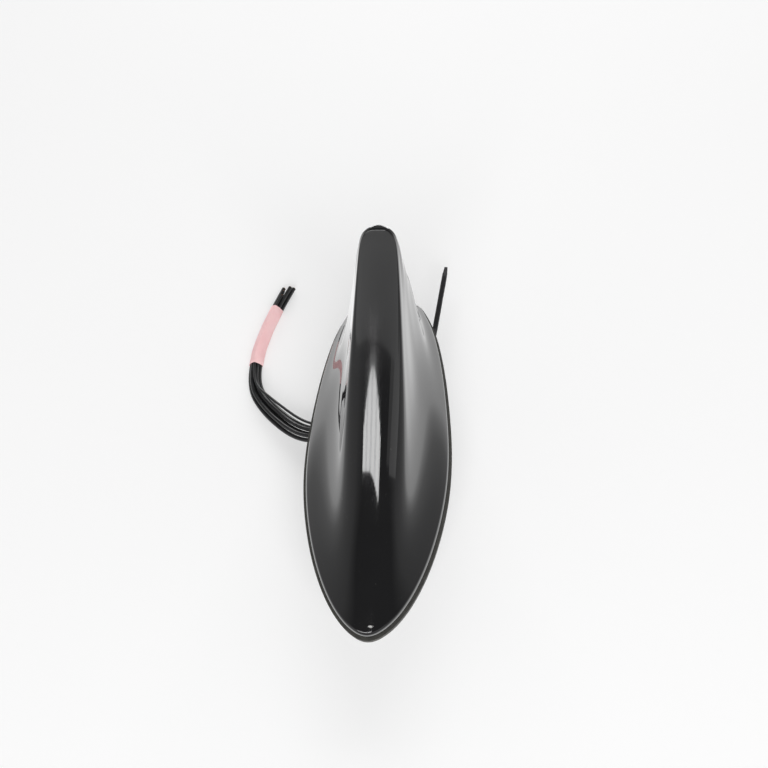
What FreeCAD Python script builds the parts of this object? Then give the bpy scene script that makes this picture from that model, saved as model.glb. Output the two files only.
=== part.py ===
import FreeCAD
import Part
import math
import os

os.makedirs("parts", exist_ok=True)
V = FreeCAD.Vector

# Overall sizes in mm. The roof plane is z = 0, the stud's axis is the origin, the nose points to -y.
seal_length = 162.5
seal_width = 66.0
overall_height = 66.0
nose_to_stud = 74.0

# Plan outlines: two Lame curves that meet at the widest place
outline_points = 28
nose_power = 1.8
tail_power = 1.55
foot_tail_share = 0.53
foot_nose_fullness = 1.8
foot_tail_fullness = 3.5

# Rubber seal under the cover
seal_step = 1.3
seal_pad_width = 7.0
seal_pad_thick = 1.6
seal_lip_top = 3.6
seal_lip_width = 2.3

# Base plate with the neck that goes through the roof
plate_thick = 2.5
neck_half_width = 13.0
neck_front = 11.0
neck_rear = 29.0
neck_depth = 9.4
neck_corner = 4.0
neck_seal_gap = 0.3
neck_seal_width = 4.5
neck_seal_proud = 0.4
well_half_width = 9.5
well_front = 13.0
well_rear = 26.0
well_floor = 5.2
outlet_top = 1.2
outlet_margin = 1.0
grommet_flange = 1.2
grommet_flange_over = 0.6

# Mounting stud
stud_radius = 4.0
stud_out = 5.6
stud_in = 7.0
stud_root_radius = 3.2
stud_chamfer = 0.7

# Cover
cover_wall = 2.3
boss_radius = 3.0
boss_places = [(0.0, -50.0), (20.0, 5.0), (-20.0, 5.0), (12.0, 71.0), (-12.0, 71.0)]
cover_screw_radius = 1.3
cover_screw_head = 2.7
cover_screw_length = 7.5
screw_hole_gap = 0.25
thread_gap = 0.05
head_slope_height = 1.5
head_slope_gap = 0.2
cover_screw_socket = 2.0
screw_socket_depth = 0.8
screw_tip = 0.6

# Main circuit board on its posts
post_height = 3.5
post_radius = 2.8
board_thick = 1.6
board_half_width = 19.0
board_front = -42.0
board_front_half = 9.0
board_shoulder = -14.0
board_rear = 79.5
board_rear_half = 8.0
board_rear_shoulder = 58.0
board_corner = 2.0
boss_clearance = 0.6
board_screw_places = [(13.0, -22.0), (-13.0, -22.0), (15.5, 52.0), (-15.5, 52.0)]
board_screw_radius = 1.2
board_screw_head = 2.3
board_screw_head_height = 1.5
board_screw_length = 5.5
board_screw_socket = 1.8
board_screw_edge = 0.5

# Pieces on the board
patch_side = 20.0
patch_thick = 4.0
patch_pad_thick = 0.5
patch_pad_inset = 1.0
patch_corner = 0.5
patch_y = -8.0
electrode_side = 15.0
electrode_thick = 0.15
electrode_corner = 1.0
feed_radius = 0.5
feed_offset = 2.0
feed_head_radius = 0.9
feed_head_height = 0.4
can_wall = 0.3
can_corner = 0.8
can_edge = 0.5
amplifier_can = (16.0, 14.0, 2.2, -28.5)
tuner_can = (28.0, 20.0, 3.5, 27.5)
chip_size = (3.0, 2.5, 1.0)
chip_places = [(-14.0, -8.0), (14.0, -8.0), (-12.0, 12.0), (12.0, 12.0), (-9.0, 48.0), (9.0, 60.0)]

# Upright radio board and the sheet-metal elements
fin_board_thick = 1.2
fin_board_front = 40.0
fin_board_rear = 74.0
fin_board_low_top = 36.0
fin_board_top = 50.0
fin_board_knee = 68.0
cap_half_width = 3.4
cap_depth = 5.0
cap_sheet = 0.4
cap_length = 26.0
cap_edge = 1.0
header_front = 44.0
header_rear = 70.0
header_width = 2.5
header_height = 2.6
element_sheet = 0.5
element_foot = 3.0
front_element = (14.0, 15.0, 6.0)
rear_element = (10.0, 18.0, 78.0)

# Leads
lead_diameter = 2.05
thin_lead_diameter = 1.3
lead_gap = 0.1
lead_exit_z = -4.1
floor_level = 15.0
lead_runs = [(-23.0, 19.5), (-39.0, 20.8), (-58.0, 35.5), (-67.6, 49.5), (-65.3, 80.0), (-55.5, 105.5)]
lead_spread = [1.25, 1.6, 1.5, 1.0, 1.0, 1.15]
thin_aside = [3.7, 5.6, 4.2, 0.0, 0.0, 0.0]
thin_lifts = [0.55, 0.3, 1.5, 1.0, 1.0, 1.0]
end_trims = [0.0, -4.0, 2.0, -2.5, 1.0, -6.0]

# Tape round the leads
tape_first_edge = 8
tape_thick = 0.25
tape_gap = 0.16

# Cable tie round the neck
tie_width = 2.5
tie_thick = 1.1
tie_level = 7.8
tie_head = (3.6, 5.0, 4.4)
tie_head_y = 22.0
tie_head_corner = 0.6
tie_tail = [(15.6, 24.5, 90), (17.3, 40, 75), (19.4, 55, 40), (21.6, 68, 10), (23.6, 81, 0), (26.0, 100, 0)]
tie_tip = [(27.6, 112.5, 0.9), (28.1, 116.5, 0.6)]

# Derived levels
plate_bottom = seal_pad_thick
rim = plate_bottom + plate_thick
board_bottom = rim + post_height
board_top = board_bottom + board_thick
nose = -nose_to_stud
tail = seal_length - nose_to_stud
rim_length = seal_length - 2 * seal_step
rim_half = seal_width / 2 - seal_step
rise = overall_height - rim


# Cover rings from the foot to the top: share of the rise, share of the half width, shares of the length cut
# off at the nose and at the tail, share of the length in the tail curve, nose fullness and tail fullness.
cover_rings = [
    (0.000, 1.000, 0.000, 0.000, foot_tail_share, foot_nose_fullness, foot_tail_fullness),
    (0.034, 1.000, 0.000, 0.000, foot_tail_share, foot_nose_fullness, foot_tail_fullness),
    (0.062, 0.940, 0.022, 0.006, 0.510, 1.85, 3.8),
    (0.105, 0.800, 0.088, 0.012, 0.440, 2.0, 3.4),
    (0.165, 0.660, 0.185, 0.016, 0.340, 2.3, 3.0),
    (0.270, 0.540, 0.320, 0.018, 0.220, 2.8, 2.6),
    (0.420, 0.460, 0.465, 0.018, 0.150, 3.4, 2.4),
    (0.580, 0.400, 0.600, 0.017, 0.110, 4.0, 2.2),
    (0.745, 0.350, 0.730, 0.014, 0.085, 4.0, 2.0),
    (0.890, 0.300, 0.845, 0.010, 0.065, 3.5, 2.0),
    (0.975, 0.260, 0.905, 0.006, 0.050, 3.0, 2.0),
    (1.000, 0.200, 0.930, 0.012, 0.035, 2.4, 2.0),
    (1.000, 0.060, 0.955, 0.030, 0.010, 2.0, 2.0),
]


def save(shape, node):
    shape.exportStep("parts/" + node + ".step")


def outline(front, rear, half, z, tail_length, nose_fullness, tail_fullness):
    # Points of a closed plan outline
    points = []
    widest = 1 - tail_length / (rear - front)
    for k in range(outline_points):
        turn = 2 * math.pi * k / outline_points
        t = (1 - math.cos(turn)) / 2
        if t < widest:
            share = (1 - ((widest - t) / widest) ** nose_power) ** (1 / nose_fullness)
        else:
            share = max(0, 1 - ((t - widest) / (1 - widest)) ** tail_power) ** (1 / tail_fullness)
        side = 0 if 2 * k % outline_points == 0 else math.copysign(1, math.sin(turn))
        points.append(V(side * half * share, front + t * (rear - front), z))
    return points


def grown(points, grow):
    # The outline moved outwards by grow
    moved = []
    for k, p in enumerate(points):
        along = points[(k + 1) % outline_points] - points[k - 1]
        moved.append(p + V(along.y, -along.x, 0).normalize() * grow)
    return moved


def ring_poles(points):
    # Poles of the smooth closed curve through the points
    poles = list(points)
    for _ in range(40):
        poles = [(points[k] * 6 - poles[k - 1] - poles[(k + 1) % len(poles)]) / 4 for k in range(len(poles))]
    return poles


def ring_curve(points):
    curve = Part.BSplineCurve()
    count = len(points)
    curve.buildFromPolesMultsKnots(
        ring_poles(points), [1] * (count + 1), [float(k) for k in range(count + 1)], True, 3
    )
    return curve


def slab(grow, z0, z1):
    # Solid with the seal's outline, moved outwards by grow
    tail_length = foot_tail_share * seal_length
    foot = outline(nose, tail, seal_width / 2, z0, tail_length, foot_nose_fullness, foot_tail_fullness)
    edge = ring_curve(grown(foot, grow)).toShape()
    return Part.Face(Part.Wire([edge])).extrude(V(0, 0, z1 - z0))


def cover_outlines():
    front = nose + seal_step
    rear = tail - seal_step
    found = []
    for up, wide, cut_front, cut_rear, tail_share, nose_fullness, tail_fullness in cover_rings:
        f = front + cut_front * rim_length
        r = rear - cut_rear * rim_length
        z = rim + up * rise
        tail_length = tail_share * rim_length
        found.append(outline(f, r, wide * rim_half, z, tail_length, nose_fullness, tail_fullness))
    return found


def skin(outlines):
    # Smooth surface whose control rings are the outlines, from the foot to the top
    spans = len(outlines) - 3
    surface = Part.BSplineSurface()
    surface.buildFromPolesMultsKnots(
        [ring_poles(points) for points in outlines],
        [4] + [1] * (spans - 1) + [4],
        [1] * (outline_points + 1),
        [float(k) for k in range(spans + 1)],
        [float(k) for k in range(outline_points + 1)],
        False,
        True,
        3,
        3,
    )
    return surface


def moved_inwards(surface, outlines, wall):
    # The outlines moved inwards by the wall, along the skin's normals
    spans = len(outlines) - 3
    knots = [0] * 3 + list(range(spans + 1)) + [spans] * 3
    sign = 1 if surface.normal(0.5, outline_points / 4).x > 0 else -1
    moved = []
    for i, points in enumerate(outlines):
        u = sum(knots[i + 1 : i + 4]) / 3
        inner = []
        for k, p in enumerate(points):
            out = surface.normal(u, (k - 1) % outline_points) * sign
            if i < 2:
                out = V(out.x, out.y, 0).normalize()
            if i > len(outlines) - 3:
                out = V(0, 0, 1)
            inner.append(p - out * wall)
        moved.append(inner)
    return moved


def solid_of(surface):
    # Closes a skin with a flat face at its foot and one at its top
    side = surface.toShape()
    caps = [Part.Face(Part.Wire([e])) for e in side.Edges if e.isClosed()]
    shell = Part.Shell([side] + caps)
    shell.sewShape()
    return Part.Solid(shell)


def cylinder(x, y, z0, z1, radius):
    return Part.makeCylinder(radius, z1 - z0, V(x, y, z0))


def block(x0, x1, y0, y1, z0, z1, corner=0.0):
    # Box with rounded upright edges
    box = Part.makeBox(x1 - x0, y1 - y0, z1 - z0, V(x0, y0, z0))
    if corner == 0:
        return box
    upright = [e for e in box.Edges if abs(e.tangentAt(e.FirstParameter).z) > 0.9]
    return box.makeFillet(corner, upright)


def turned(profile, x, y):
    # Solid of revolution from (radius, z) points, standing at (x, y)
    points = [V(r, 0, z) for r, z in profile]
    face = Part.Face(Part.makePolygon(points + points[:1]))
    solid = face.revolve(V(0, 0, 0), V(0, 0, 1), 360)
    solid.translate(V(x, y, 0))
    return solid


def hexagon(x, y, z0, z1, across):
    reach = across / math.sqrt(3)
    turns = [math.radians(60 * k) for k in range(7)]
    points = [V(x + reach * math.cos(a), y + reach * math.sin(a), z0) for a in turns]
    return Part.Face(Part.makePolygon(points)).extrude(V(0, 0, z1 - z0))


def make_cover():
    outlines = cover_outlines()
    surface = skin(outlines)
    outer = solid_of(surface)
    shell = outer.cut(solid_of(skin(moved_inwards(surface, outlines, cover_wall))))
    for x, y in boss_places:
        boss = cylinder(x, y, rim, rim + rise / 3, boss_radius).common(outer)
        shell = shell.fuse(boss)
    hole_top = plate_bottom + cover_screw_length + screw_hole_gap
    for x, y in boss_places:
        shell = shell.cut(cylinder(x, y, rim, hole_top, cover_screw_radius + thread_gap))
    return shell


def make_gasket():
    pad = slab(0, 0, plate_bottom).cut(slab(-seal_pad_width, 0, plate_bottom))
    lip = slab(0, plate_bottom, seal_lip_top).cut(slab(-seal_lip_width, plate_bottom, seal_lip_top))
    return pad.fuse(lip).removeSplitter()


def neck_block(grow, z0, z1):
    w = neck_half_width + grow
    return block(-w, w, -neck_front - grow, neck_rear + grow, z0, z1, neck_corner + grow)


def make_base_plate():
    plate = slab(-seal_lip_width, plate_bottom, rim)
    plate = plate.fuse(neck_block(0, -neck_depth, rim))
    for x, y in board_screw_places:
        plate = plate.fuse(cylinder(x, y, plate_bottom, board_bottom, post_radius))
    plate = plate.removeSplitter()
    w = well_half_width
    plate = plate.cut(block(-w, w, well_front, well_rear, -well_floor, rim, outlet_margin))
    plate = plate.cut(outlet_block(0, -neck_half_width, -w + outlet_margin))
    plate = plate.cut(cylinder(0, 0, -neck_depth, -neck_depth + stud_in, stud_root_radius))
    for x, y in board_screw_places:
        bottom = board_top - board_screw_length - screw_hole_gap
        plate = plate.cut(cylinder(x, y, bottom, board_bottom, board_screw_radius + thread_gap))
    for x, y in boss_places:
        plate = plate.cut(turned(countersink(screw_hole_gap), x, y))
    return plate


def outlet_block(grow, x0, x1):
    y0 = well_front + outlet_margin - grow
    y1 = well_rear - outlet_margin + grow
    return block(x0, x1, y0, y1, -well_floor - grow, -outlet_top + grow)


def countersink(gap):
    head = cover_screw_head
    shank = cover_screw_radius + gap
    foot = plate_bottom
    return [(0, foot), (head, foot), (shank, foot + head_slope_height), (shank, rim), (0, rim)]


def make_roof_hole_seal():
    low = -neck_seal_proud
    outside = neck_block(neck_seal_gap + neck_seal_width, low, plate_bottom)
    return outside.cut(neck_block(neck_seal_gap, low, plate_bottom))


def make_grommet():
    w = neck_half_width
    plug = outlet_block(0, -w, -well_half_width)
    flange = outlet_block(grommet_flange_over, -w - grommet_flange, -w)
    return plug.fuse(flange).removeSplitter()


def make_stud():
    r, c = stud_radius, stud_chamfer
    low = -neck_depth - stud_out
    high = -neck_depth + stud_in
    root = stud_root_radius
    thread = [(0, low), (r - c, low), (r, low + c), (r, -neck_depth)]
    return turned(thread + [(root, -neck_depth), (root, high), (0, high)], 0, 0)


def cover_screw(x, y):
    r, foot = cover_screw_radius, plate_bottom
    slope = head_slope_height - head_slope_gap
    top = foot + cover_screw_length
    reach = cover_screw_head - (cover_screw_head - r - screw_hole_gap) * slope / head_slope_height
    profile = [(0, foot), (cover_screw_head, foot), (reach, foot + slope), (r, foot + slope)]
    screw = turned(profile + [(r, top - screw_tip), (r - screw_tip, top), (0, top)], x, y)
    return screw.cut(hexagon(x, y, foot, foot + screw_socket_depth, cover_screw_socket))


def board_screw(x, y):
    r, h, e = board_screw_radius, board_screw_head, board_screw_edge
    low = board_top - board_screw_length
    high = board_top + board_screw_head_height
    profile = [(0, low), (r - screw_tip, low), (r, low + screw_tip), (r, board_top), (h, board_top)]
    screw = turned(profile + [(h, high - e), (h - e, high), (0, high)], x, y)
    return screw.cut(hexagon(x, y, high - screw_socket_depth, high, board_screw_socket))


def make_board():
    half = [(board_front_half, board_front), (board_half_width, board_shoulder)]
    half += [(board_half_width, board_rear_shoulder), (board_rear_half, board_rear)]
    points = [V(x, y, board_bottom) for x, y in half] + [V(-x, y, board_bottom) for x, y in half[::-1]]
    board = Part.Face(Part.makePolygon(points + points[:1])).extrude(V(0, 0, board_thick))
    upright = [e for e in board.Edges if abs(e.tangentAt(e.FirstParameter).z) > 0.9]
    board = board.makeFillet(board_corner, upright)
    for x, y in boss_places:
        board = board.cut(cylinder(x, y, board_bottom, board_top, boss_radius + boss_clearance))
    for x, y in board_screw_places:
        board = board.cut(cylinder(x, y, board_bottom, board_top, board_screw_radius + screw_hole_gap))
    return board


def feed_hole():
    return cylinder(feed_offset, patch_y, board_top, board_top + 2 * patch_thick, feed_radius + thread_gap)


def make_patch():
    h = patch_side / 2
    foot = board_top + patch_pad_thick
    patch = block(-h, h, patch_y - h, patch_y + h, foot, foot + patch_thick, patch_corner)
    return patch.cut(feed_hole())


def make_patch_pad():
    h = patch_side / 2 - patch_pad_inset
    pad = block(-h, h, patch_y - h, patch_y + h, board_top, board_top + patch_pad_thick)
    return pad.cut(feed_hole())


def make_electrode():
    h = electrode_side / 2
    foot = board_top + patch_pad_thick + patch_thick
    plate = block(-h, h, patch_y - h, patch_y + h, foot, foot + electrode_thick, electrode_corner)
    return plate.cut(feed_hole())


def make_feed_pin():
    foot = board_top
    seat = board_top + patch_pad_thick + patch_thick + electrode_thick
    r, h = feed_radius, feed_head_radius
    top = seat + feed_head_height
    head = [(h, seat), (h, seat + feed_head_height / 2), (r, top), (0, top)]
    return turned([(0, foot), (r, foot), (r, seat)] + head, feed_offset, patch_y)


def make_can(size):
    width, length, height, y = size
    x, l, t = width / 2, length / 2, can_wall
    top = board_top + height
    can = block(-x, x, y - l, y + l, board_top, top, can_corner)
    lid = [e for e in can.Edges if e.BoundBox.ZMin > top - t]
    can = can.makeFillet(can_edge, lid)
    return can.cut(block(-x + t, x - t, y - l + t, y + l - t, board_top, top - t, can_corner - t))


def make_chips():
    w, l, h = chip_size[0] / 2, chip_size[1] / 2, chip_size[2]
    top = board_top + h
    return Part.makeCompound([block(x - w, x + w, y - l, y + l, board_top, top) for x, y in chip_places])


def make_fin_board():
    t = fin_board_thick / 2
    outline_yz = [(fin_board_front, board_top), (fin_board_rear, board_top), (fin_board_rear, fin_board_top)]
    outline_yz += [(fin_board_knee, fin_board_top), (fin_board_front, fin_board_low_top)]
    points = [V(-t, y, z) for y, z in outline_yz]
    return Part.Face(Part.makePolygon(points + points[:1])).extrude(V(2 * t, 0, 0))


def make_top_cap():
    # Folded sheet that sits on the sloping edge of the upright board
    w, t, d = cap_half_width, cap_sheet, cap_depth
    run = fin_board_knee - fin_board_front
    climb = fin_board_top - fin_board_low_top
    slope = math.degrees(math.atan2(climb, run))
    start = (math.hypot(run, climb) - cap_length) / 2
    cap = block(-w, w, start, start + cap_length, -d, t)
    folds = [e for e in cap.Edges if e.BoundBox.ZMin > 0 and e.BoundBox.YLength > cap_length / 2]
    cap = cap.makeFillet(cap_edge, folds)
    cap = cap.cut(block(-w + t, w - t, start, start + cap_length, -d, 0))
    cap.rotate(V(0, 0, 0), V(1, 0, 0), slope)
    cap.translate(V(0, fin_board_front, fin_board_low_top))
    return cap


def make_header():
    x = fin_board_thick / 2
    return block(x, x + header_width, header_front, header_rear, board_top, board_top + header_height)


def make_element(size, foot_side):
    # Stamped sheet with a foot on the board and a notched upright leaf
    width, height, y = size
    w, t = width / 2, element_sheet
    leaf = block(-w, w, y, y + t, board_top, board_top + height)
    notch = block(-w / 4, w / 4, y, y + t, board_top + height / 3, board_top + height)
    heel = min(y, y + foot_side * element_foot)
    foot = block(-w, w, heel, heel + element_foot + t, board_top, board_top + t)
    return leaf.cut(notch).fuse(foot).removeSplitter()


def route(points, trim):
    # Straight runs joined by tangent arcs, the last run made longer by trim
    edges = []
    radii = []
    start = points[0]
    for before, corner, after in zip(points, points[1:], points[2:]):
        a, b = before - corner, after - corner
        half_turn = (math.pi - a.getAngle(b)) / 2
        cut = 0.45 * min(a.Length, b.Length)
        radius = cut / math.tan(half_turn)
        a.normalize()
        b.normalize()
        middle = a + b
        middle.normalize()
        p, q = corner + a * cut, corner + b * cut
        m = corner + middle * (radius / math.cos(half_turn) - radius)
        edges += [Part.LineSegment(start, p).toShape(), Part.Arc(p, m, q).toShape()]
        radii.append(radius)
        start = q
    last = points[-1] - start
    last.normalize()
    edges.append(Part.LineSegment(start, points[-1] + last * trim).toShape())
    return edges, radii


def lane(aside, lifts):
    # The lead runs moved sideways and to their heights, from the grommet to the cut end
    runs = [V(x, y, 0) for x, y in lead_runs]
    ways = [q - p for p, q in zip(runs, runs[1:])]
    for way in ways:
        way.normalize()
    ways = [V(-1, 0, 0)] + ways + ways[-1:]
    moved = []
    for k, p in enumerate(runs):
        along = ways[k] + ways[k + 1]
        along.normalize()
        reach = aside[k] / along.dot(ways[k])
        moved.append(V(p.x + along.y * reach, p.y - along.x * reach, lifts[k]))
    return [V(-neck_half_width - grommet_flange, moved[0].y, moved[0].z)] + moved


def lead_pitch():
    return lead_diameter + lead_gap


def upper_row():
    return lead_pitch() * math.sqrt(3) / 2


def resting_levels():
    rest = -floor_level + lead_diameter / 2 + tape_thick + tape_gap
    return [lead_exit_z, (lead_exit_z + 3 * rest) / 4, rest, rest, rest, rest]


def lead_points(share, up):
    aside = [share * lead_pitch() * s for s in lead_spread]
    return lane(aside, [z + up for z in resting_levels()])


def thin_nest():
    # Height of the thin lead in the groove between the two upper leads
    reach = (lead_diameter + thin_lead_diameter) / 2 + lead_gap
    return upper_row() + math.sqrt(reach**2 - (lead_pitch() / 2) ** 2)


def thin_points():
    nest = thin_nest()
    lifts = [z + nest * share for z, share in zip(resting_levels(), thin_lifts)]
    return lane(thin_aside, lifts)


def tube(points, trim, diameter):
    edges, radii = route(points, trim)
    along = points[1] - points[0]
    along.normalize()
    ring = Part.Wire([Part.Circle(points[0], along, diameter / 2).toShape()])
    return Part.Wire(edges).makePipeShell([ring], True, False), radii


def make_leads():
    lanes = [(-1, 0), (0, 0), (1, 0), (-0.5, upper_row()), (0.5, upper_row())]
    for k, (share, up) in enumerate(lanes):
        solid, radii = tube(lead_points(share, up), end_trims[k], lead_diameter)
        print("lead", k + 1, "bend radii", [round(r, 1) for r in radii])
        save(solid, "coax_lead_%d" % (k + 1))
    solid, radii = tube(thin_points(), end_trims[-1], thin_lead_diameter)
    print("thin lead bend radii", [round(r, 1) for r in radii])
    save(solid, "thin_lead")


def wrap_corners(grow):
    # Corners of the wrap's right half: the flats touch the grown leads
    r = lead_diameter / 2 + grow
    thin = thin_lead_diameter / 2 + grow
    low, high, nest = (lead_pitch(), 0), (lead_pitch() / 2, upper_row()), (0, thin_nest())
    lean = math.degrees(math.atan2(high[0], nest[1] - high[1]))
    lean += math.degrees(math.asin((r - thin) / math.hypot(high[0], nest[1] - high[1])))
    flats = [(low, r, -90, -30), (low, r, -30, 30), (high, r, 30, lean), (nest, thin, lean, 90)]
    corners = []
    for (x, z), radius, a, b in flats:
        reach = radius / math.cos(math.radians((b - a) / 2))
        turn = math.radians((a + b) / 2)
        corners.append((x + reach * math.cos(turn), z + reach * math.sin(turn)))
    return corners


def make_tape():
    edges = route(lead_points(0, 0), 0)[0]
    path = Part.Wire(edges[tape_first_edge : tape_first_edge + 2])
    start = path.OrderedVertexes[0].Point
    along = path.OrderedEdges[0].tangentAt(path.OrderedEdges[0].FirstParameter)
    across = V(along.y, -along.x, 0)
    wraps = []
    for grow in (tape_gap + tape_thick, tape_gap):
        half = wrap_corners(grow)
        section = half + [(-x, z) for x, z in half[::-1]]
        points = [start + across * x + V(0, 0, z) for x, z in section]
        sweep = Part.BRepOffsetAPI.MakePipeShell(path)
        sweep.setBiNormalMode(V(0, 0, 1))
        sweep.add(Part.makePolygon(points + points[:1]))
        sweep.build()
        sweep.makeSolid()
        wraps.append(sweep.shape())
    return wraps[0].cut(wraps[1])


def tie_section(x, y, lean, width, along):
    across = V(along.y, -along.x, 0)
    a = math.radians(lean)
    flat = across * math.cos(a) + V(0, 0, math.sin(a))
    up = V(0, 0, math.cos(a)) - across * math.sin(a)
    c = V(x, y, -tie_level)
    w, t = width / 2, tie_thick / 2
    points = [c + flat * w + up * t, c - flat * w + up * t, c - flat * w - up * t, c + flat * w - up * t]
    return Part.makePolygon(points + points[:1])


def make_cable_tie():
    z0, z1 = -tie_level - tie_width / 2, -tie_level + tie_width / 2
    loop = neck_block(tie_thick, z0, z1).cut(neck_block(0, z0, z1))
    x = neck_half_width + tie_thick / 2
    w, l, h = tie_head
    low, high = -tie_level - h / 2, -tie_level + h / 2
    head = block(x, x + w, tie_head_y - l / 2, tie_head_y + l / 2, low, high, tie_head_corner)
    stations = [(px, py, lean, tie_width) for px, py, lean in tie_tail]
    stations += [(px, py, 0, tie_width * share) for px, py, share in tie_tip]
    sections = []
    for k, (px, py, lean, width) in enumerate(stations):
        a = stations[max(k - 1, 0)]
        b = stations[min(k + 1, len(stations) - 1)]
        along = V(b[0] - a[0], b[1] - a[1], 0)
        along.normalize()
        sections.append(tie_section(px, py, lean, width, along))
    tail_strip = Part.makeLoft(sections, True, False)
    return loop.fuse(head).fuse(tail_strip).removeSplitter()


save(make_cover(), "cover")
save(make_gasket(), "gasket")
save(make_base_plate(), "base_plate")
save(make_roof_hole_seal(), "roof_hole_seal")
save(make_stud(), "mounting_stud")
save(make_grommet(), "cable_grommet")
save(Part.makeCompound([cover_screw(x, y) for x, y in boss_places]), "cover_screws")
save(make_board(), "main_circuit_board")
save(Part.makeCompound([board_screw(x, y) for x, y in board_screw_places]), "board_screws")
save(make_patch_pad(), "patch_adhesive_pad")
save(make_patch(), "gps_patch_ceramic")
save(make_electrode(), "gps_patch_electrode")
save(make_feed_pin(), "gps_feed_pin")
save(make_can(amplifier_can), "amplifier_shield_can")
save(make_can(tuner_can), "tuner_shield_can")
save(make_chips(), "board_filters")
save(make_fin_board(), "radio_fin_board")
save(make_top_cap(), "radio_top_cap")
save(make_header(), "fin_board_header")
save(make_element(front_element, 1), "phone_element_front")
save(make_element(rear_element, -1), "phone_element_rear")
make_leads()
save(make_tape(), "tape_wrap")
save(make_cable_tie(), "cable_tie")
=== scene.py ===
import math
import bpy
import bmesh
from mathutils import Matrix, Vector


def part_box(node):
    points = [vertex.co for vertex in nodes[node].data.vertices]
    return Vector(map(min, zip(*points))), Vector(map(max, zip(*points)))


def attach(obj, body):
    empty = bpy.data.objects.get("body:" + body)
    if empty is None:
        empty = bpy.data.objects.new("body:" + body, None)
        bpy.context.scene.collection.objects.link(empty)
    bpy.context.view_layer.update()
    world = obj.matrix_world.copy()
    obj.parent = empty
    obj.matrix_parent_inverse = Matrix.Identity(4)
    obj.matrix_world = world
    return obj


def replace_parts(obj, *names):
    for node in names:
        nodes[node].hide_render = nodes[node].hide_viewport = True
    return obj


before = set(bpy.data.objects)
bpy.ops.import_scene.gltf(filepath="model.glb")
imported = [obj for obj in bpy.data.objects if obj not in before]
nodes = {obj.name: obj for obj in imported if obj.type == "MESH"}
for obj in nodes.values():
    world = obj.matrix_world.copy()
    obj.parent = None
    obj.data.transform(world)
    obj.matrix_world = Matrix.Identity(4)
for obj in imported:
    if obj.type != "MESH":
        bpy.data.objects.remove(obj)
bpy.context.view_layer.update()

mm = 0.001
scene = bpy.context.scene
scene.view_settings.view_transform = "Standard"
print("frame loaded:", len(nodes), "nodes")

# Camera at the photo's place, fitted to the fin's outline
cameraSet = {
    "azimuth": 10.9, "elevation": 62.6, "roll": -8.6, "distance": 365, "lookAt": (0.2, 43.6, 0),
    "focalPixels": 770, "imagePixels": 768, "sensor": 36.0, "clip": (0.01, 50),
}


def makeCamera(cfg):
    az, el, roll = (math.radians(cfg[k]) for k in ("azimuth", "elevation", "roll"))
    back = Vector((math.sin(az) * math.cos(el), -math.cos(az) * math.cos(el), math.sin(el)))
    right = Vector((math.cos(az), math.sin(az), 0))
    up = back.cross(right)
    tilted = right * math.cos(roll) + up * math.sin(roll)
    upright = up * math.cos(roll) - right * math.sin(roll)
    data = bpy.data.cameras.new("photoCamera")
    data.sensor_width = cfg["sensor"]
    data.lens = cfg["focalPixels"] / cfg["imagePixels"] * cfg["sensor"]
    data.clip_start, data.clip_end = cfg["clip"]
    camera = bpy.data.objects.new("photoCamera", data)
    scene.collection.objects.link(camera)
    turn = Matrix((tilted, upright, back)).transposed()
    place = (Vector(cfg["lookAt"]) + back * cfg["distance"]) * mm
    camera.matrix_world = Matrix.Translation(place) @ turn.to_4x4()
    scene.camera = camera


makeCamera(cameraSet)

# Leads, with the route points of the CAD model in mm
leadSet = {
    "runs": [(-23.0, 19.5), (-39.0, 20.8), (-58.0, 35.5), (-67.6, 49.5), (-65.3, 80.0), (-55.5, 105.5)],
    "spread": [1.25, 1.6, 1.5, 1.0, 1.0, 1.15],
    "thinAside": [3.7, 5.6, 4.2, 0.0, 0.0, 0.0],
    "thinLifts": [0.55, 0.3, 1.5, 1.0, 1.0, 1.0],
    "endTrims": [0.0, -4.0, 2.0, -2.5, 1.0, -6.0],
    "diameter": 2.05, "thinDiameter": 1.3, "gap": 0.1, "roundSteps": 5, "runSteps": 10,
    "exitX": -14.2, "exitZ": -4.1, "floor": -15.0, "tape": 0.41,
}
pitch = leadSet["diameter"] + leadSet["gap"]
upperRow = pitch * math.sqrt(3) / 2
nestReach = (leadSet["diameter"] + leadSet["thinDiameter"]) / 2 + leadSet["gap"]
thinNest = upperRow + math.sqrt(nestReach ** 2 - (pitch / 2) ** 2)
restLevel = leadSet["floor"] + leadSet["diameter"] / 2 + leadSet["tape"]
levels = [leadSet["exitZ"], (leadSet["exitZ"] + 3 * restLevel) / 4] + [restLevel] * 4


def lanePoints(aside, lifts, trim):
    runs = [Vector((x, y, 0)) for x, y in leadSet["runs"]]
    ways = [(q - p).normalized() for p, q in zip(runs, runs[1:])]
    ways = [Vector((-1, 0, 0))] + ways + ways[-1:]
    moved = []
    for k, p in enumerate(runs):
        along = (ways[k] + ways[k + 1]).normalized()
        reach = aside[k] / along.dot(ways[k])
        moved.append(Vector((p.x + along.y * reach, p.y - along.x * reach, lifts[k])))
    moved.insert(0, Vector((leadSet["exitX"], moved[0].y, moved[0].z)))
    moved[-1] += (moved[-1] - moved[-2]).normalized() * trim
    return [p * mm for p in moved]


def cordCurve(name, points, radius):
    data = bpy.data.curves.new(name, "CURVE")
    data.dimensions = "3D"
    data.bevel_depth = radius
    data.bevel_resolution = leadSet["roundSteps"]
    data.use_fill_caps = True
    data.resolution_u = leadSet["runSteps"]
    spline = data.splines.new("NURBS")
    spline.points.add(len(points) - 1)
    for slot, p in zip(spline.points, points):
        slot.co = (*p, 1)
    spline.order_u = 3  # after the points, or the runs stay straight
    spline.use_endpoint_u = True
    piece = bpy.data.objects.new(name, data)
    scene.collection.objects.link(piece)
    return piece


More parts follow.
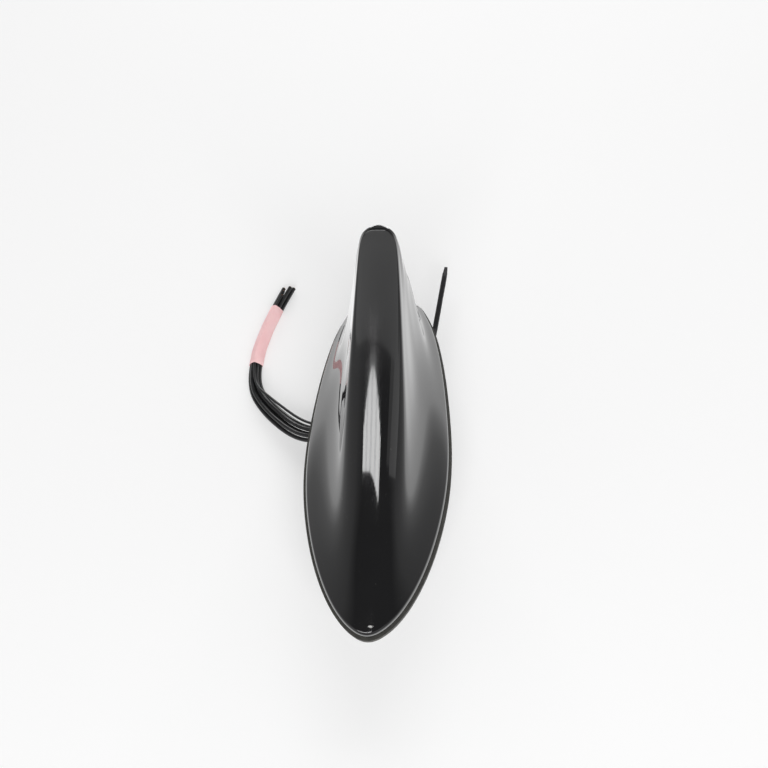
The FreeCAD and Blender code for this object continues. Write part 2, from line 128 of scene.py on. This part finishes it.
def meshPiece(name, bm, finishes, smooth=True):
    mesh = bpy.data.meshes.new(name)
    bm.to_mesh(mesh)
    bm.free()
    for finish in finishes:
        mesh.materials.append(finish)
    if smooth:
        mesh.shade_smooth()
    else:
        mesh.shade_flat()
    piece = bpy.data.objects.new(name, mesh)
    scene.collection.objects.link(piece)
    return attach(piece, "root")


# Turns a profile of radii and heights in mm round the upright axis
def spinProfile(bm, profile, steps, angle=math.tau, rise=0):
    row = [bm.verts.new((r * mm, 0, z * mm)) for r, z in profile]
    edges = [bm.edges.new(pair) for pair in zip(row, row[1:])]
    bmesh.ops.spin(bm, geom=row + edges, axis=(0, 0, 1), cent=(0, 0, 0), angle=angle, steps=steps,
                   dvec=(0, 0, rise * mm), use_merge=not rise)


# Finishes: each is a Principled shader with patterns on Object coordinates
noiseSpan = (0.3, 0.7)  # where most of a noise's values lie


def newFinish(name):
    finish = bpy.data.materials.new(name)
    finish.use_nodes = True
    tree = finish.node_tree
    shader = tree.nodes["Principled BSDF"]
    coords = tree.nodes.new("ShaderNodeTexCoord")
    return finish, tree, shader, coords.outputs["Object"]


def noise(tree, coords, scale, detail=4.0, roughness=0.55):
    node = tree.nodes.new("ShaderNodeTexNoise")
    node.inputs["Scale"].default_value = scale
    node.inputs["Detail"].default_value = detail
    node.inputs["Roughness"].default_value = roughness
    tree.links.new(coords, node.inputs["Vector"])
    return node.outputs["Fac"]


def ramp(tree, value, low, high, colorLow, colorHigh):
    node = tree.nodes.new("ShaderNodeValToRGB")
    node.color_ramp.elements[0].position = low
    node.color_ramp.elements[1].position = high
    node.color_ramp.elements[0].color = (*colorLow, 1)
    node.color_ramp.elements[1].color = (*colorHigh, 1)
    tree.links.new(value, node.inputs["Fac"])
    return node.outputs["Color"]


def remap(tree, value, low, high, outLow, outHigh):
    node = tree.nodes.new("ShaderNodeMapRange")
    for key, number in (("From Min", low), ("From Max", high), ("To Min", outLow), ("To Max", outHigh)):
        node.inputs[key].default_value = number
    tree.links.new(value, node.inputs["Value"])
    return node.outputs["Result"]


def combine(tree, operation, first, second):
    node = tree.nodes.new("ShaderNodeMath")
    node.operation = operation
    tree.links.new(first, node.inputs[0])
    tree.links.new(second, node.inputs[1])
    return node.outputs["Value"]


def bump(tree, shader, height, strength, distance):
    node = tree.nodes.new("ShaderNodeBump")
    node.inputs["Strength"].default_value = strength
    node.inputs["Distance"].default_value = distance
    tree.links.new(height, node.inputs["Height"])
    tree.links.new(node.outputs["Normal"], shader.inputs["Normal"])


def blendColor(tree, share, under, over):
    node = tree.nodes.new("ShaderNodeMix")
    node.data_type = "RGBA"
    tree.links.new(share, node.inputs["Factor"])
    tree.links.new(under, node.inputs["A"])
    node.inputs["B"].default_value = (*over, 1)
    return node.outputs["Result"]


plainFinishes = {
    "sealRubber": {"colors": ((0.05, 0.049, 0.045), (0.078, 0.077, 0.07)), "scale": 700,
                   "rough": (0.62, 0.85), "bump": (0.5, 0.00012)},
    "castMetal": {"colors": ((0.42, 0.42, 0.43), (0.56, 0.56, 0.56)), "scale": 900,
                  "rough": (0.38, 0.55), "metal": 1.0, "bump": (0.25, 0.00006)},
    "platedSteel": {"colors": ((0.5, 0.5, 0.52), (0.68, 0.68, 0.68)), "scale": 600,
                    "rough": (0.22, 0.38), "metal": 1.0, "bump": (0.1, 0.00002)},
    "circuitBoard": {"colors": ((0.012, 0.09, 0.03), (0.02, 0.15, 0.05)), "scale": 260,
                     "rough": (0.3, 0.45), "bump": (0.1, 0.00003)},
    "patchCeramic": {"colors": ((0.6, 0.5, 0.38), (0.72, 0.62, 0.48)), "scale": 500,
                     "rough": (0.55, 0.7), "bump": (0.2, 0.00004)},
    "stampedBrass": {"colors": ((0.62, 0.45, 0.18), (0.78, 0.6, 0.28)), "scale": 400,
                     "rough": (0.25, 0.4), "metal": 1.0, "bump": (0.1, 0.00002)},
    "mouldedBlack": {"colors": ((0.012, 0.012, 0.013), (0.026, 0.026, 0.028)), "scale": 900,
                     "rough": (0.42, 0.6), "bump": (0.25, 0.00004)},
    "leadJacket": {"colors": ((0.008, 0.008, 0.009), (0.02, 0.02, 0.021)), "scale": 500,
                   "rough": (0.28, 0.42), "bump": (0.25, 0.00005)},
    "leadCore": {"colors": ((0.36, 0.35, 0.33), (0.55, 0.54, 0.52)), "scale": 1500,
                 "rough": (0.45, 0.6), "bump": (0.2, 0.00004)},
    "copperWire": {"colors": ((0.55, 0.25, 0.12), (0.72, 0.36, 0.2)), "scale": 900,
                   "rough": (0.3, 0.45), "metal": 1.0, "bump": (0.1, 0.00002)},
}


def plainFinish(name):
    cfg = plainFinishes[name]
    finish, tree, shader, coords = newFinish(name)
    grain = noise(tree, coords, cfg["scale"])
    tree.links.new(ramp(tree, grain, *noiseSpan, *cfg["colors"]), shader.inputs["Base Color"])
    worn = noise(tree, coords, cfg["scale"] / 4)
    tree.links.new(remap(tree, worn, *noiseSpan, *cfg["rough"]), shader.inputs["Roughness"])
    shader.inputs["Metallic"].default_value = cfg.get("metal", 0.0)
    bump(tree, shader, grain, *cfg["bump"])
    return finish


finishes = {name: plainFinish(name) for name in plainFinishes}

# Gloss black with faint dust in patches and one small pale spot near the nose
coverLook = {
    "black": (0.003, 0.003, 0.0035), "paler": 1.5, "blackScale": 60,
    "dust": (0.16, 0.16, 0.15), "dustScale": 420, "dustSize": 0.045, "dustFade": 1.6,
    "patchScale": 90, "patchSpan": (0.52, 0.68),
    "paleSpot": (1.7, -69.0, 7.7), "paleSpotSize": 0.0006, "paleSpotFade": 0.7, "paleSpotStretch": (0.5, 1, 1),
    "paleSpotScale": 2600, "paleSpotRagged": (0.6, 1.7), "paleSpotColor": (0.6, 0.6, 0.58),
    "rough": (0.035, 0.075), "roughScale": 45, "roughSpan": (0.35, 0.7),
    "sockets": {"IOR": 1.8, "Coat Weight": 1.0, "Coat Roughness": 0.02, "Coat IOR": 2.0},
}


def awayFrom(tree, coords, place, stretch):
    for operation, amount in (("SUBTRACT", place), ("MULTIPLY", stretch)):
        step = tree.nodes.new("ShaderNodeVectorMath")
        step.operation = operation
        step.inputs[1].default_value = amount
        tree.links.new(coords, step.inputs[0])
        coords = step.outputs["Vector"]
    length = tree.nodes.new("ShaderNodeVectorMath")
    length.operation = "LENGTH"
    tree.links.new(coords, length.inputs[0])
    return length.outputs["Value"]


def coverFinish(cfg):
    finish, tree, shader, coords = newFinish("polishedBlack")
    specks = tree.nodes.new("ShaderNodeTexVoronoi")
    specks.inputs["Scale"].default_value = cfg["dustScale"]
    tree.links.new(coords, specks.inputs["Vector"])
    near = remap(tree, specks.outputs["Distance"], cfg["dustSize"], cfg["dustSize"] * cfg["dustFade"], 1, 0)
    patchy = remap(tree, noise(tree, coords, cfg["patchScale"]), *cfg["patchSpan"], 0, 1)
    paler = tuple(c * cfg["paler"] for c in cfg["black"])
    clean = ramp(tree, noise(tree, coords, cfg["blackScale"]), *noiseSpan, cfg["black"], paler)
    dusty = blendColor(tree, combine(tree, "MULTIPLY", near, patchy), clean, cfg["dust"])
    # A small pale spot with a ragged edge near the nose, mixed into the black
    away = awayFrom(tree, coords, Vector(cfg["paleSpot"]) * mm, cfg["paleSpotStretch"])
    ragged = remap(tree, noise(tree, coords, cfg["paleSpotScale"]), *noiseSpan, *cfg["paleSpotRagged"])
    edge = combine(tree, "MULTIPLY", away, ragged)
    paleSpot = remap(tree, edge, cfg["paleSpotSize"] * cfg["paleSpotFade"], cfg["paleSpotSize"], 1, 0)
    tree.links.new(blendColor(tree, paleSpot, dusty, cfg["paleSpotColor"]), shader.inputs["Base Color"])
    worn = noise(tree, coords, cfg["roughScale"])
    tree.links.new(remap(tree, worn, *cfg["roughSpan"], *cfg["rough"]), shader.inputs["Roughness"])
    for key, value in cfg["sockets"].items():
        shader.inputs[key].default_value = value
    return finish


tapeLook = {
    "pale": (0.97, 0.66, 0.66), "deep": (0.94, 0.57, 0.58), "colorScale": 120, "rough": (0.6, 0.8),
    "creases": (220, 6.0, 0.65), "bump": (0.5, 0.00025),
}


def tapeFinish(cfg):
    finish, tree, shader, coords = newFinish("paleTape")
    creases = noise(tree, coords, *cfg["creases"])
    color = ramp(tree, noise(tree, coords, cfg["colorScale"]), *noiseSpan, cfg["deep"], cfg["pale"])
    tree.links.new(color, shader.inputs["Base Color"])
    tree.links.new(remap(tree, creases, *noiseSpan, *cfg["rough"]), shader.inputs["Roughness"])
    bump(tree, shader, creases, *cfg["bump"])
    return finish


finishes["polishedBlack"] = coverFinish(coverLook)
finishes["paleTape"] = tapeFinish(tapeLook)
print("finishes made:", len(finishes))

# What each CAD node is made of
nodeFinishes = {
    "cover": "polishedBlack", "gasket": "sealRubber", "base_plate": "castMetal",
    "roof_hole_seal": "sealRubber", "mounting_stud": "platedSteel", "cable_grommet": "sealRubber",
    "cover_screws": "platedSteel", "main_circuit_board": "circuitBoard", "board_screws": "platedSteel",
    "patch_adhesive_pad": "mouldedBlack", "gps_patch_ceramic": "patchCeramic",
    "gps_patch_electrode": "stampedBrass", "gps_feed_pin": "stampedBrass",
    "amplifier_shield_can": "platedSteel", "tuner_shield_can": "platedSteel", "board_filters": "mouldedBlack",
    "radio_fin_board": "circuitBoard", "radio_top_cap": "stampedBrass", "fin_board_header": "mouldedBlack",
    "phone_element_front": "stampedBrass", "phone_element_rear": "stampedBrass", "cable_tie": "mouldedBlack",
}
for name, finish in nodeFinishes.items():
    for slot in nodes[name].material_slots:
        slot.material = finishes[finish]

# Fin cover: control rings from the foot to the top, bridged and subdivided, with the ridge's tight edges
coverSet = {
    "points": 28, "nosePower": 1.8, "tailPower": 1.55, "wall": 0.4, "levels": 3, "passes": 40,
    # share of the rise, half width, cut at the nose, cut at the tail,
    # tail curve, nose fullness, tail fullness, ridge edge
    "rings": [
        (0, 1, 0, 0, 0.53, 1.8, 3.5, 0), (0.034, 1, 0, 0, 0.53, 1.8, 3.5, 0),
        (0.048, 0.985, 0.004, 0.002, 0.525, 1.8, 3.6, 0), (0.0505, 0.977, 0.0095, 0.003, 0.522, 1.8, 3.65, 0),
        (0.062, 0.94, 0.034, 0.006, 0.51, 1.85, 3.8, 0), (0.105, 0.8, 0.122, 0.012, 0.44, 2, 3.4, 0.05),
        (0.165, 0.66, 0.248, 0.016, 0.34, 2.3, 3, 0.3), (0.27, 0.54, 0.39, 0.018, 0.22, 2.8, 2.6, 0.65),
        (0.42, 0.46, 0.546, 0.018, 0.17, 3.4, 2.4, 0.9), (0.58, 0.4, 0.686, 0.017, 0.18, 4, 2.2, 1),
        (0.745, 0.35, 0.813, 0.014, 0.3, 4, 1.8, 1), (0.89, 0.305, 0.911, 0.008, 0.58, 3.5, 1.5, 1),
        (0.96, 0.264, 0.952, 0.004, 0.8, 3.2, 1.35, 1), (0.986, 0.19, 0.968, 0.005, 0.8, 3, 1.35, 0.9),
        (0.998, 0.115, 0.974, 0.009, 0.7, 2.4, 1.5, 0.5), (1, 0.06, 0.979, 0.012, 0.6, 2, 2, 0)],
    # share of the half width and of the length, from the ridge's middle round its edge
    "ridgeEdge": [(0, 0), (0.34, 0.008), (0.66, 0.030), (0.845, 0.056), (0.895, 0.10), (0.912, 0.20),
                  (0.93, 0.33)],
}


def ringShare(cfg, k, tailShare, noseFull, tailFull, edge):
    t = (1 - math.cos(math.tau * k / cfg["points"])) / 2
    widest = 1 - tailShare
    if t < widest:
        x = (1 - ((widest - t) / widest) ** cfg["nosePower"]) ** (1 / noseFull)
    else:
        x = max(0, 1 - ((t - widest) / (1 - widest)) ** cfg["tailPower"]) ** (1 / tailFull)
    if k < len(cfg["ridgeEdge"]):
        edgeX, edgeT = cfg["ridgeEdge"][k]
        x, t = x + (edgeX - x) * edge, t + (edgeT - t) * edge
    return x, t


def coverRing(cfg, row, low, high):
    up, wide, cutFront, cutRear, tailShare, noseFull, tailFull, edge = row
    length = high.y - low.y
    front, rear = low.y + cutFront * length, high.y - cutRear * length
    level = low.z + up * (high.z - low.z)
    count = cfg["points"]
    points = []
    for k in range(count):
        x, t = ringShare(cfg, min(k, count - k), tailShare, noseFull, tailFull, edge)
        side = 0 if 2 * k % count == 0 else (1 if 2 * k < count else -1)
        points.append(Vector((side * x * wide * high.x, front + t * (rear - front), level)))
    poles = list(points)  # control points of the closed curve through the points
    for _ in range(cfg["passes"]):
        poles = [(points[k] * 6 - poles[k - 1] - poles[(k + 1) % count]) / 4 for k in range(count)]
    return poles


def makeCover(cfg):
    low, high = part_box("cover")
    bm = bmesh.new()
    loops = []
    for row in cfg["rings"]:
        ring = [bm.verts.new(p) for p in coverRing(cfg, row, low, high)]
        loops.append([bm.edges.new((ring[k - 1], ring[k])) for k in range(len(ring))])
    for lower, upper in zip(loops, loops[1:]):
        bmesh.ops.bridge_loops(bm, edges=lower + upper)
    bmesh.ops.contextual_create(bm, geom=loops[-1])
    bmesh.ops.recalc_face_normals(bm, faces=bm.faces)
    piece = meshPiece("fin_cover", bm, [finishes["polishedBlack"]])
    smooth = piece.modifiers.new("coverSkin", "SUBSURF")
    smooth.levels = smooth.render_levels = cfg["levels"]
    wall = piece.modifiers.new("coverWall", "SOLIDIFY")
    wall.thickness = cfg["wall"] * mm
    wall.offset = -1
    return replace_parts(piece, "cover")


makeCover(coverSet)
print("cover shaped")

# Leads as smooth cords, each with its cut end
endSet = {"core": 0.3, "coreEdge": 1.05, "coreOut": 0.5, "inner": 0.72, "out": 0.06, "deep": 0.8, "steps": 20}


def cutEnd(name, tip, before, share):
    bm = bmesh.new()
    core, inner = endSet["core"] * share, endSet["inner"] * share
    profile = [(0, endSet["coreOut"]), (core, endSet["coreOut"]), (core, endSet["out"]),
               (inner, endSet["out"]), (inner, -endSet["deep"])]
    spinProfile(bm, profile, endSet["steps"])
    bmesh.ops.remove_doubles(bm, verts=bm.verts, dist=1e-6)
    bmesh.ops.recalc_face_normals(bm, faces=bm.faces)
    for face in bm.faces:
        face.material_index = int(face.calc_center_median().xy.length < core * mm * endSet["coreEdge"])
    turn = (tip - before).to_track_quat("Z", "Y").to_matrix().to_4x4()
    bmesh.ops.transform(bm, matrix=Matrix.Translation(tip) @ turn, verts=bm.verts)
    return meshPiece(name, bm, [finishes["leadCore"], finishes["copperWire"]], smooth=False)


lanes = [(-1, 0), (0, 0), (1, 0), (-0.5, upperRow), (0.5, upperRow)]
routes = {}
for k, (share, lift) in enumerate(lanes):
    aside = [share * pitch * s for s in leadSet["spread"]]
    points = lanePoints(aside, [z + lift for z in levels], leadSet["endTrims"][k])
    routes["coax_lead_%d" % (k + 1)] = (points, leadSet["diameter"])
thinLifts = [z + thinNest * s for z, s in zip(levels, leadSet["thinLifts"])]
thinPoints = lanePoints(leadSet["thinAside"], thinLifts, leadSet["endTrims"][-1])
routes["thin_lead"] = (thinPoints, leadSet["thinDiameter"])

leads, ends = {}, {}
for node, (points, diameter) in routes.items():
    lead = cordCurve("lead_" + node, points, diameter * mm / 2)
    lead.data.materials.append(finishes["leadJacket"])
    leads[node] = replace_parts(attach(lead, "root"), node)
    ends[node] = cutEnd("cut_end_" + node, points[-1], points[-2], diameter / leadSet["diameter"])
print("leads laid:", len(leads))

# Tape round the bundle: the hull of the leads, swept along the middle lead's line with a spiral overlap
tapeSet = {
    "fromY": 58.8, "toY": 93.2, "gap": 0.2, "thick": 0.25, "wall": 0.12, "steps": 48,
    "spiralPitch": 13.0, "overlap": 0.15,
}


def routeLine(points):
    line = cordCurve("routeLine", points, 0)
    mesh = bpy.data.meshes.new_from_object(line)
    smooth = [v.co.copy() for v in mesh.vertices]
    bpy.data.meshes.remove(mesh)
    bpy.data.objects.remove(line)
    return smooth


def hullPoint(turn, grow):
    discs = [(s * pitch, lift, leadSet["diameter"] / 2) for s, lift in lanes]
    discs.append((0, thinNest, leadSet["thinDiameter"] / 2))
    out = Vector((math.cos(turn), math.sin(turn)))
    x, z, r = max(discs, key=lambda d: d[0] * out.x + d[1] * out.y + d[2])
    return Vector((x, z)) + out * (r + grow)


def makeTape(cfg):
    middle = routeLine(lanePoints([0.0] * len(leadSet["spread"]), levels, 0))
    line = [p for p in middle if cfg["fromY"] <= p.y / mm <= cfg["toY"]]
    bm = bmesh.new()
    steps = cfg["steps"]
    ring = []
    travelled = 0.0
    for k, p in enumerate(line):
        a, b = line[max(k - 1, 0)], line[min(k + 1, len(line) - 1)]
        along = (b - a).normalized()
        across = Vector((along.y, -along.x, 0)).normalized()
        travelled += (p - a).length / mm
        if not ring:
            ring = [bm.verts.new(p) for _ in range(steps)]
            loop = [bm.edges.new((ring[j], ring[(j + 1) % steps])) for j in range(steps)]
        else:
            made = bmesh.ops.extrude_edge_only(bm, edges=loop)["geom"]
            fresh = {v for v in made if isinstance(v, bmesh.types.BMVert)}
            loop = [e for e in made if isinstance(e, bmesh.types.BMEdge) and fresh.issuperset(e.verts)]
            ring = [next(e.other_vert(v) for e in v.link_edges if e.other_vert(v) in fresh) for v in ring]
        for j, v in enumerate(ring):
            share = (j / steps + travelled / cfg["spiralPitch"]) % 1
            flat = hullPoint(math.tau * j / steps, cfg["gap"] + cfg["thick"] - cfg["overlap"] * share)
            v.co = p + (across * flat.x + Vector((0, 0, flat.y))) * mm
    bmesh.ops.recalc_face_normals(bm, faces=bm.faces)
    piece = meshPiece("tape_pink", bm, [finishes["paleTape"]])
    wall = piece.modifiers.new("tapeWall", "SOLIDIFY")
    wall.thickness = cfg["wall"] * mm
    wall.offset = -1
    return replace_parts(piece, "tape_wrap")


tape = makeTape(tapeSet)
print("tape wound")
for node, (points, diameter) in routes.items():
    line = routeLine(points)

# Teeth and rails on the flat tail of the cable tie
tieSet = {
    "start": (23.3, 79.0), "end": (27.6, 112.5), "top": -7.25, "width": 2.5, "sunk": 0.1,
    "railWidth": 0.45, "railHeight": 0.22,
    "toothPitch": 0.95, "toothWidth": 1.3, "toothHeight": 0.2, "toothShare": 0.85, "toothSlope": 0.9,
}


def addBlock(bm, low, high, place):
    made = bmesh.ops.create_cube(bm, size=1)["verts"]
    low, high = Vector(low) * mm, Vector(high) * mm
    bmesh.ops.scale(bm, vec=high - low, verts=made)
    bmesh.ops.translate(bm, vec=(low + high) / 2, verts=made)
    bmesh.ops.transform(bm, matrix=place, verts=made)
    return made


def makeTieTeeth(cfg):
    start, end = Vector((*cfg["start"], cfg["top"])) * mm, Vector((*cfg["end"], cfg["top"])) * mm
    length = (end - start).length / mm
    turn = (end - start).to_track_quat("Y", "Z").to_matrix().to_4x4()
    place = Matrix.Translation(start) @ turn
    back = place.inverted()
    bm = bmesh.new()
    edge, rail = cfg["width"] / 2, cfg["railWidth"]
    for x in (-edge, edge - rail):
        addBlock(bm, (x, 0, -cfg["sunk"]), (x + rail, length, cfg["railHeight"]), place)
    tooth, half = cfg["toothPitch"], cfg["toothWidth"] / 2
    for k in range(int(length / tooth) - 1):
        far = k * tooth + tooth * cfg["toothShare"]
        made = addBlock(bm, (-half, k * tooth, -cfg["sunk"]), (half, far, cfg["toothHeight"]), place)
        top = sorted(made, key=lambda v: (back @ v.co).z)[-4:]
        front = sorted(top, key=lambda v: (back @ v.co).y)[:2]
        bmesh.ops.translate(bm, vec=(0, 0, -cfg["toothHeight"] * cfg["toothSlope"] * mm), verts=front)
    return meshPiece("tie_teeth", bm, [finishes["mouldedBlack"]], smooth=False)


makeTieTeeth(tieSet)
print("tie teeth cut")

# Stud with its thread
studSet = {"radius": 4.0, "root": 3.35, "pitch": 1.25, "crest": (0.42, 0.55), "tip": 0.3, "steps": 32}


def makeStud(cfg):
    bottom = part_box("mounting_stud")[0].z / mm
    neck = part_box("base_plate")[0].z / mm
    start = bottom + cfg["tip"]
    root, lead = cfg["root"], cfg["pitch"]
    bm = bmesh.new()
    core = [(0, bottom), (root - cfg["tip"], bottom), (root, start), (root, neck), (0, neck)]
    spinProfile(bm, core, cfg["steps"])
    turns = (neck - start - lead) / lead
    steps = int(cfg["steps"] * turns)
    crest = [(cfg["radius"], start + lead * share) for share in cfg["crest"]]
    spinProfile(bm, [(root, start)] + crest + [(root, start + lead)], steps, math.tau * turns,
                lead * turns / steps)
    bmesh.ops.remove_doubles(bm, verts=bm.verts, dist=1e-7)
    bmesh.ops.recalc_face_normals(bm, faces=bm.faces)
    piece = meshPiece("stud_thread", bm, [finishes["platedSteel"]], smooth=False)
    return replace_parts(piece, "mounting_stud")


makeStud(studSet)
print("stud threaded")

# Floor and a pale room: bright walls, dimmer in front of the nose, and a dim ceiling
roomSet = {
    "floorLevel": -15.05, "floorSize": 1.4, "floorColor": (0.96, 0.96, 0.96), "floorShade": 0.985,
    "floorScale": 3, "floorRough": 0.7, "cameraGlow": 0.42,
    "strength": 1.2, "frontShare": 0.3, "frontSpan": (-0.9, -0.4),
    "walls": [(0.05, 0.83), (0.2, 0.78), (0.35, 0.5), (0.5, 0.3), (0.7, 0.18), (0.86, 0.12), (0.93, 0.045)],
}
# Lamps in metres: those without an aim face straight down
lampSet = {
    "softBack": {"place": (0, 1.9, 0.75), "size": (1.8, 0.6), "power": 26, "aim": (0, 0, 0)},
    "softFront": {"place": (0.3, -1.5, 1.0), "size": (2.2, 1.1), "power": 38, "aim": (0, 0, 0),
                  "mirrored": False},
    "ceilingPanel": {"place": (-0.17, -0.65, 1.4), "size": (1.35, 0.3), "power": 0.25},
    "sidePanel": {"place": (0.5, -0.46, 1.4), "size": (0.34, 0.08), "power": 0.017},
    "sideEdge": {"place": (0.28, -0.466, 1.4), "size": (0.1, 0.068), "power": 0.0021},
}
# A louvred strip over the nose: its far side is arched and its near side runs out to the right
louvreSet = {
    "count": 16, "from": -0.424, "step": 0.0293, "width": 0.0291, "height": 1.4, "glow": 9.4,
    "groove": 0.008, "grooveEvery": 4, "far": -0.4915, "arch": 0.135, "middle": 0.48,
    "near": -0.421, "tail": 0.136, "tailFrom": 0.4,
}


def addSlat(cfg, k):
    share = k / (cfg["count"] - 1)
    far = cfg["far"] + cfg["arch"] * (share - cfg["middle"]) ** 2
    near = cfg["near"] + cfg["tail"] * max(0, share - cfg["tailFrom"]) ** 2
    width = cfg["width"]
    if (k + 1) % cfg["grooveEvery"] == 0:
        width -= cfg["groove"]
    place = (cfg["from"] + k * cfg["step"], (far + near) / 2, cfg["height"])
    power = cfg["glow"] * width * (near - far)
    lampSet["slat%d" % k] = {"place": place, "size": (width, near - far), "power": power}


for k in range(louvreSet["count"]):
    addSlat(louvreSet, k)


def floorFinish(cfg):
    finish, tree, shader, coords = newFinish("paleFloor")
    pale = cfg["floorColor"]
    shade = tuple(c * cfg["floorShade"] for c in pale)
    color = ramp(tree, noise(tree, coords, cfg["floorScale"]), *noiseSpan, shade, pale)
    tree.links.new(color, shader.inputs["Base Color"])
    shader.inputs["Roughness"].default_value = cfg["floorRough"]
    glow = tree.nodes.new("ShaderNodeEmission")
    rays = tree.nodes.new("ShaderNodeLightPath").outputs
    share = tree.nodes.new("ShaderNodeMath")
    share.operation = "MULTIPLY_ADD"
    share.inputs[1].default_value = cfg["cameraGlow"]
    tree.links.new(rays["Is Camera Ray"], share.inputs[0])
    mirrored = combine(tree, "MAXIMUM", rays["Is Glossy Ray"], rays["Is Transmission Ray"])
    tree.links.new(mirrored, share.inputs[2])
    mix = tree.nodes.new("ShaderNodeMixShader")
    tree.links.new(share.outputs["Value"], mix.inputs["Fac"])
    tree.links.new(shader.outputs["BSDF"], mix.inputs[1])
    tree.links.new(glow.outputs["Emission"], mix.inputs[2])
    tree.links.new(mix.outputs["Shader"], tree.nodes["Material Output"].inputs["Surface"])
    return finish


def makeFloor(cfg):
    bm = bmesh.new()
    bmesh.ops.create_grid(bm, x_segments=1, y_segments=1, size=cfg["floorSize"] / 2)
    bmesh.ops.translate(bm, vec=(0, 0, cfg["floorLevel"] * mm), verts=bm.verts)
    mesh = bpy.data.meshes.new("floor")
    bm.to_mesh(mesh)
    bm.free()
    mesh.materials.append(floorFinish(cfg))
    floor = bpy.data.objects.new("floor", mesh)
    scene.collection.objects.link(floor)


def makeLamp(name, cfg):
    data = bpy.data.lights.new(name, "AREA")
    data.shape = "RECTANGLE"
    data.size, data.size_y = cfg["size"]
    data.energy = cfg["power"]
    lamp = bpy.data.objects.new(name, data)
    lamp.location = cfg["place"]
    if "aim" in cfg:
        lamp.rotation_euler = (Vector(cfg["aim"]) - Vector(cfg["place"])).to_track_quat("-Z", "Y").to_euler()
    lamp.visible_glossy = cfg.get("mirrored", True)
    scene.collection.objects.link(lamp)


def makeWorld(cfg):
    world = bpy.data.worlds.new("paleRoom")
    scene.world = world
    world.use_nodes = True
    tree = world.node_tree
    background = tree.nodes["Background"]
    coords = tree.nodes.new("ShaderNodeTexCoord")
    split = tree.nodes.new("ShaderNodeSeparateXYZ")
    tree.links.new(coords.outputs["Generated"], split.inputs["Vector"])
    levelColors = tree.nodes.new("ShaderNodeValToRGB")
    stops = levelColors.color_ramp.elements
    while len(stops) < len(cfg["walls"]):
        stops.new(0.5)
    for stop, (level, grey) in zip(stops, cfg["walls"]):
        stop.position = level
        stop.color = (grey, grey, grey, 1)
    tree.links.new(split.outputs["Z"], levelColors.inputs["Fac"])
    tree.links.new(levelColors.outputs["Color"], background.inputs["Color"])
    full = cfg["strength"]
    dimmed = remap(tree, split.outputs["Y"], *cfg["frontSpan"], full * cfg["frontShare"], full)
    tree.links.new(dimmed, background.inputs["Strength"])


makeFloor(roomSet)
makeWorld(roomSet)
for name, cfg in lampSet.items():
    makeLamp(name, cfg)
print("room lit")
